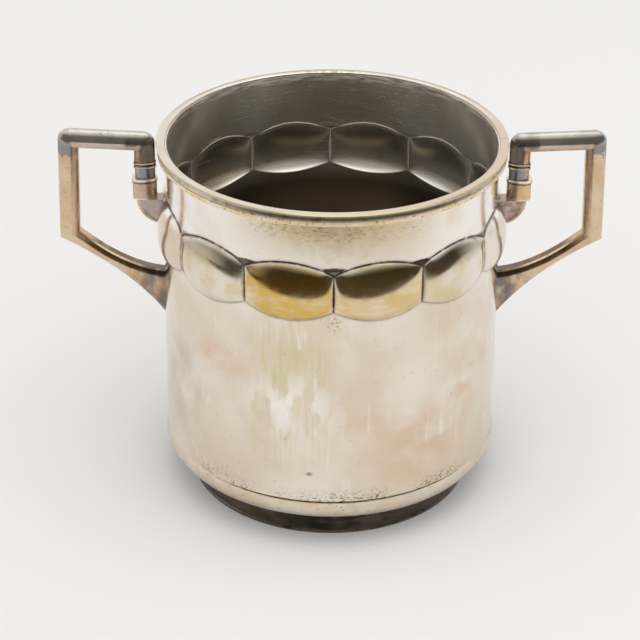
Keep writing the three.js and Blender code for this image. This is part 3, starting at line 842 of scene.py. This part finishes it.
# Ferrules
# Under each handle's leg stands a turned neck with two fine rings, cast with the bar's section and soldered
# into the socket below.
ferrule_height = 10
ferrule_waist = 0.2
ring_height = 1.5
ring_proud = 0.45
ring_spacing = 0.9
ring_edge = 0.25
ring_shoulder = 0.1
ring_bevel = 0.15
lower_ring = ring_height + ring_spacing
ferrule_steps = [(0, 0)]
for start in (0, lower_ring):
    end = start + ring_height
    ferrule_steps += [(start + ring_shoulder, ring_proud - ring_bevel), (start + ring_edge, ring_proud)]
    ferrule_steps += [(end - ring_edge, ring_proud), (end - ring_shoulder, ring_proud - ring_bevel)]
    ferrule_steps += [(end, -ferrule_waist)]
ferrule_steps += [(ferrule_height + joint_gap - solder_gap, -ferrule_waist)]
ferrule_rings = []
for down, proud in ferrule_steps:
    inner = Vector((leg_inner + proud, leg_end - solder_gap - down))
    outer = Vector((leg_outer - proud, leg_end - solder_gap - down))
    ferrule_rings.append(bar_ring(inner, outer, bevel_width, bar_half + proud, inner_half + proud))

# Silver plate on cast brass that is hardly ever rubbed: bluish grey with copper showing in patches. The
# light lines on the rings are painted highlights; the near black between the rings and on the side towards
# the neck is painted shade, and the side away from the neck is painted lighter.
grey_tarnish = linear("#9a959a")
copper_showing = linear("#b99877")
painted_ring_light = linear("#dccab0")
black_shade_and_dirt = linear("#3a332e")

ferrule_material, tree, shader, place = metal_material("grey_tarnished_plate")
height = put(tree, "SeparateXYZ", {0: place}, "Z")
outward = put(tree, "Math", {0: height.node.outputs["X"]}, operation="ABSOLUTE")
colour = lay(tree, grey_tarnish, copper_showing, 0.6, patches(tree, place, 4, 0.45, 0.62))
# Painted shade on the side towards the neck, painted light on the side away from it.
colour = lay(tree, colour, black_shade_and_dirt, 0.5, (outward, 0.1075, 0.104))
colour = lay(tree, colour, painted_ring_light, 0.5, (outward, 0.1085, 0.1105), patches(tree, place, 2, 0.4, 0.6))
# Painted shade over the rings, and painted highlights along their middles.
on_rings = (height, 0.1957, 0.1961)
colour = lay(tree, colour, black_shade_and_dirt, 0.6, on_rings)
upper_middle = leg_end - solder_gap - ring_height / 2
for ring_middle in (upper_middle, upper_middle - lower_ring):
    offset = put(tree, "Math", {0: height, 1: ring_middle * MM}, operation="SUBTRACT")
    distance = put(tree, "Math", {0: offset}, operation="ABSOLUTE")
    colour = lay(tree, colour, painted_ring_light, 0.85, (distance, 0.0006, 0.0002))
tree.links.new(colour, shader.inputs["Base Color"])
worn = patches(tree, place, 2, 0.35, 0.7)
roughness = put(tree, "MapRange", {"Value": worn, "To Min": 0.18, "To Max": 0.32})
tree.links.new(roughness, shader.inputs["Roughness"])
grain = put(tree, "TexNoise", {"Vector": place, "Scale": 0.5 / (1.2 * MM), "Detail": 3.0})
uneven = put(tree, "Bump", {"Height": grain, "Distance": 0.04 * MM})
tree.links.new(uneven, shader.inputs["Normal"])

for side, turn in (("right", 0.0), ("left", math.pi)):
    ferrule = sheet_mesh(f"ferrule_bar_{side}", ferrule_rings, marks=("bevel",), sharp=25)
    ferrule.data.transform(Matrix.Rotation(turn, 4, "Z"))
    ferrule.data.materials.append(ferrule_material)
    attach(ferrule, "root")
    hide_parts(f"ferrule_{side}")


# Brackets
# A lipped socket holds each ferrule, on a quarter-round block with bevelled edges that is soldered to the
# neck.
socket_top = leg_end - ferrule_height - joint_gap
socket_height = 12.6
socket_width = 13.6
socket_shift = 0.4
socket_half = 5.2
socket_face = 4
socket_lip = 2.2
socket_lip_proud = 0.6
socket_lip_inset = 0.3
socket_lip_bevel = 0.4
socket_lip_round = 0.5
block_height = 16.5
block_half = 4.7
block_inset = 1.8
block_bevel = 3.5
block_face = 2.1
block_core = 0.6
block_steps = 24
socket_middle = (leg_outer + leg_inner) / 2 + socket_shift
socket_steps = (
    (0, socket_lip_proud - socket_lip_inset),
    (socket_lip_bevel, socket_lip_proud),
    (socket_lip - socket_lip_round, socket_lip_proud),
    (socket_lip, 0),
    (socket_height, 0),
)
socket_rings = []
for down, proud in socket_steps:
    reach = socket_width / 2 + proud
    inner = Vector((socket_middle + reach, socket_top - down))
    outer = Vector((socket_middle - reach, socket_top - down))
    socket_rings.append(bar_ring(inner, outer, bevel_width, socket_half + proud, socket_face + proud))
block_centre = Vector((body_radius - wall_sink, socket_top - socket_height))
block_reach = socket_middle + socket_width / 2 - block_inset - block_centre.x
block_rings = []
for i in range(block_steps + 1):
    turn = i / block_steps * math.pi / 2
    inner = block_centre + Vector((block_core * math.cos(turn), -block_core * math.sin(turn)))
    outer = block_centre + Vector((block_reach * math.cos(turn), -block_height * math.sin(turn)))
    width = (outer - inner).length
    way = (outer - inner) / width
    outline = [(0, block_half, 0.0), (width - block_bevel, block_half, 0.0), (width, block_face, 1.0)]
    outline += [(s, -t, rim) for s, t, rim in outline[::-1]]
    block_rings.append([(inner.x + way.x * s, t, inner.y + way.y * s, rim) for s, t, rim in outline])

# Silver plate on cast brass, tarnished bluish grey, rusty copper near the solder and gold-cream where it is
# rubbed. The dark band under the socket's lip is painted shade; the light lines on the lip, just above the
# socket's lower edge and along the block's bevelled rim are painted highlights.
pale_tarnish = linear("#b4afae")
rubbed_rose = linear("#d2b8a2")
rubbed_cream = linear("#dfc397")
lip_edge_highlight = linear("#ece2cf")

bracket_material, tree, shader, place = metal_material("streaked_tarnished_plate")
rim = put(tree, "Attribute", out="Fac", attribute_name="bevel")
height = put(tree, "SeparateXYZ", {0: place}, "Z")
outward = put(tree, "Math", {0: height.node.outputs["X"]}, operation="ABSOLUTE")
on_right = (height.node.outputs["X"], 0.0, 0.01)
on_socket = (height, 0.176, 0.1775)
under_socket = (height, 0.1775, 0.176)
colour = lay(tree, pale_tarnish, copper_showing, 0.5, patches(tree, place, 4, 0.48, 0.64, (1.6, 1, 0.7)))
colour = lay(tree, colour, copper_showing, 0.8, on_socket)
rubbed = lay(tree, rubbed_rose, rubbed_cream, 1.0, on_right)
colour = lay(tree, colour, rubbed, 0.9, on_socket, (outward, 0.103, 0.109))
# Painted shade under the socket's lip, and painted highlights on the lip and just above the socket's lower
# edge.
colour = lay(tree, colour, black_shade_and_dirt, 0.75, (height, 0.1866, 0.1870), (height, 0.1882, 0.1879))
colour = lay(tree, colour, lip_edge_highlight, 1.0, (height, 0.1883, 0.1887))
colour = lay(tree, colour, lip_edge_highlight, 0.8, (height, 0.1780, 0.1776), (height, 0.1770, 0.1771))
colour = lay(tree, colour, rusty_copper, 0.7, on_right, under_socket, patches(tree, place, 1.8, 0.46, 0.58))
colour = lay(tree, colour, black_shade_and_dirt, 0.5, under_socket, patches(tree, place, 1.2, 0.62, 0.7))
# Painted highlight along the block's bevelled rim.
rim_highlight_line = through(tree, 1.0, (rim, 0.4, 0.65), under_socket)
colour = lay(tree, colour, rubbed_cream, 0.8, rim_highlight_line)
tree.links.new(colour, shader.inputs["Base Color"])
worn = patches(tree, place, 2, 0.35, 0.7)
roughness = put(tree, "MapRange", {"Value": worn, "To Min": 0.18, "To Max": 0.34})
tree.links.new(roughness, shader.inputs["Roughness"])
plate = put(tree, "MapRange", {"Value": rim_highlight_line, "To Min": 0.75, "To Max": 0.4})
tree.links.new(plate, shader.inputs["Metallic"])
grain = put(tree, "TexNoise", {"Vector": place, "Scale": 0.5 / (1.2 * MM), "Detail": 3.0})
uneven = put(tree, "Bump", {"Height": grain, "Distance": 0.04 * MM})
tree.links.new(uneven, shader.inputs["Normal"])

for side, turn in (("right", 0.0), ("left", math.pi)):
    for name, rings in (("bracket_socket", socket_rings), ("bracket_block", block_rings)):
        piece = sheet_mesh(f"{name}_{side}", rings, marks=("bevel",), sharp=25)
        piece.data.transform(Matrix.Rotation(turn, 4, "Z"))
        piece.data.materials.append(bracket_material)
        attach(piece, "root")
        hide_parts(f"bracket_{side}")


# Table
# A sheet of white card under the cooler. The polished wall mirrors it as far as its front edge, which lies
# outside the picture, and the dim room beyond.
table_half = 6
table_corners = [
    (-table_half, -table_half, 0),
    (table_half, -table_half, 0),
    (table_half, table_half, 0),
    (-table_half, table_half, 0),
]
floor_mesh = bpy.data.meshes.new("table")
floor_mesh.from_pydata(table_corners, [], [(0, 1, 2, 3)])
floor = bpy.data.objects.new("table", floor_mesh)
bpy.context.scene.collection.objects.link(floor)

# White card, matt, so that it takes the soft shadow and mirrors nothing. Past the card's edge the metal
# mirrors the room.
table_white = linear("#eeeeee")
dim_room = linear("#52483a")

floor_material = bpy.data.materials.new("white_card")
floor_material.use_nodes = True
tree = floor_material.node_tree
card = tree.nodes["Principled BSDF"]
card.inputs["Roughness"].default_value = 0.9
card.inputs["Specular IOR Level"].default_value = 0.0
mirrored = put(tree, "LightPath", out="Is Glossy Ray")
along = put(tree, "SeparateXYZ", {0: put(tree, "TexCoord", out="Object")}, "Y")
beyond_edge = (along, -0.50, -0.54)
colour = lay(tree, table_white, dim_room, 1.0, mirrored, beyond_edge)
tree.links.new(colour, card.inputs["Base Color"])
floor_mesh.materials.append(floor_material)


# Studio light
# White card all round and overhead, and one soft lamp. The card in front of the cooler gives the table more
# light than the card behind, so that the shadow falls to the back. The dim room in front, over the table's
# edge, gives no light and shows only where the metal mirrors it.
studio_white = linear("#fbfaf8")
backdrop = linear("#f1f1f1")
toward_room = (0.25, -0.97, 0.0)
toward_bright_card = (0.0, -0.85, 0.53)

world = bpy.data.worlds.new("studio")
bpy.context.scene.world = world
world.use_nodes = True
tree = world.node_tree
background = tree.nodes["Background"]
way = put(tree, "TexCoord", out="Generated")
up = put(tree, "SeparateXYZ", {0: way}, "Z")
in_front = put(tree, "VectorMath", {0: way, 1: toward_room}, "Value", operation="DOT_PRODUCT")
mirrored = put(tree, "LightPath", out="Is Glossy Ray")
studio = lay(tree, studio_white, dim_room, 1.0, mirrored, (in_front, -0.15, 0.4), (up, 0.72, 0.42))
seen = lay(tree, studio, backdrop, 1.0, mirrored.node.outputs["Is Camera Ray"])
tree.links.new(seen, background.inputs["Color"])
facing = put(tree, "VectorMath", {0: way, 1: toward_bright_card}, "Value", operation="DOT_PRODUCT")
card_light = put(
    tree,
    "MapRange",
    {"Value": facing, "From Min": -0.7, "From Max": 0.9, "To Min": 0.32, "To Max": 1.34},
)
strength = put(tree, "Mix", {0: mirrored.node.outputs["Is Diffuse Ray"], 2: 1.0, 3: card_light})
tree.links.new(strength, background.inputs["Strength"])

lamp_data = bpy.data.lights.new("softbox", "AREA")
lamp_data.shape = "RECTANGLE"
lamp_data.size = 1.4
lamp_data.size_y = 1.0
lamp_data.energy = 3.0
lamp = bpy.data.objects.new("softbox", lamp_data)
lamp.location = (0.35, -0.2, 1.5)
bpy.context.scene.collection.objects.link(lamp)


# Camera
# The photograph's place and lens: a long lens about 1.3 m away, looking down at 29 degrees and tilted by
# half a degree.
camera_data = bpy.data.cameras.new("camera")
camera_data.sensor_width = 36
camera_data.lens = 120.4
camera_data.shift_x = -0.0168
camera_data.shift_y = -0.0098
camera = bpy.data.objects.new("camera", camera_data)
camera.location = (-0.0172, -1.1067, 0.7184)
aim = Vector((0, 0, 0.1)) - camera.location
camera.rotation_mode = "QUATERNION"
camera.rotation_quaternion = aim.to_track_quat("-Z", "Y") @ Quaternion((0, 0, 1), math.radians(0.6))
bpy.context.scene.collection.objects.link(camera)
bpy.context.scene.camera = camera
bpy.context.scene.view_settings.view_transform = "Standard"
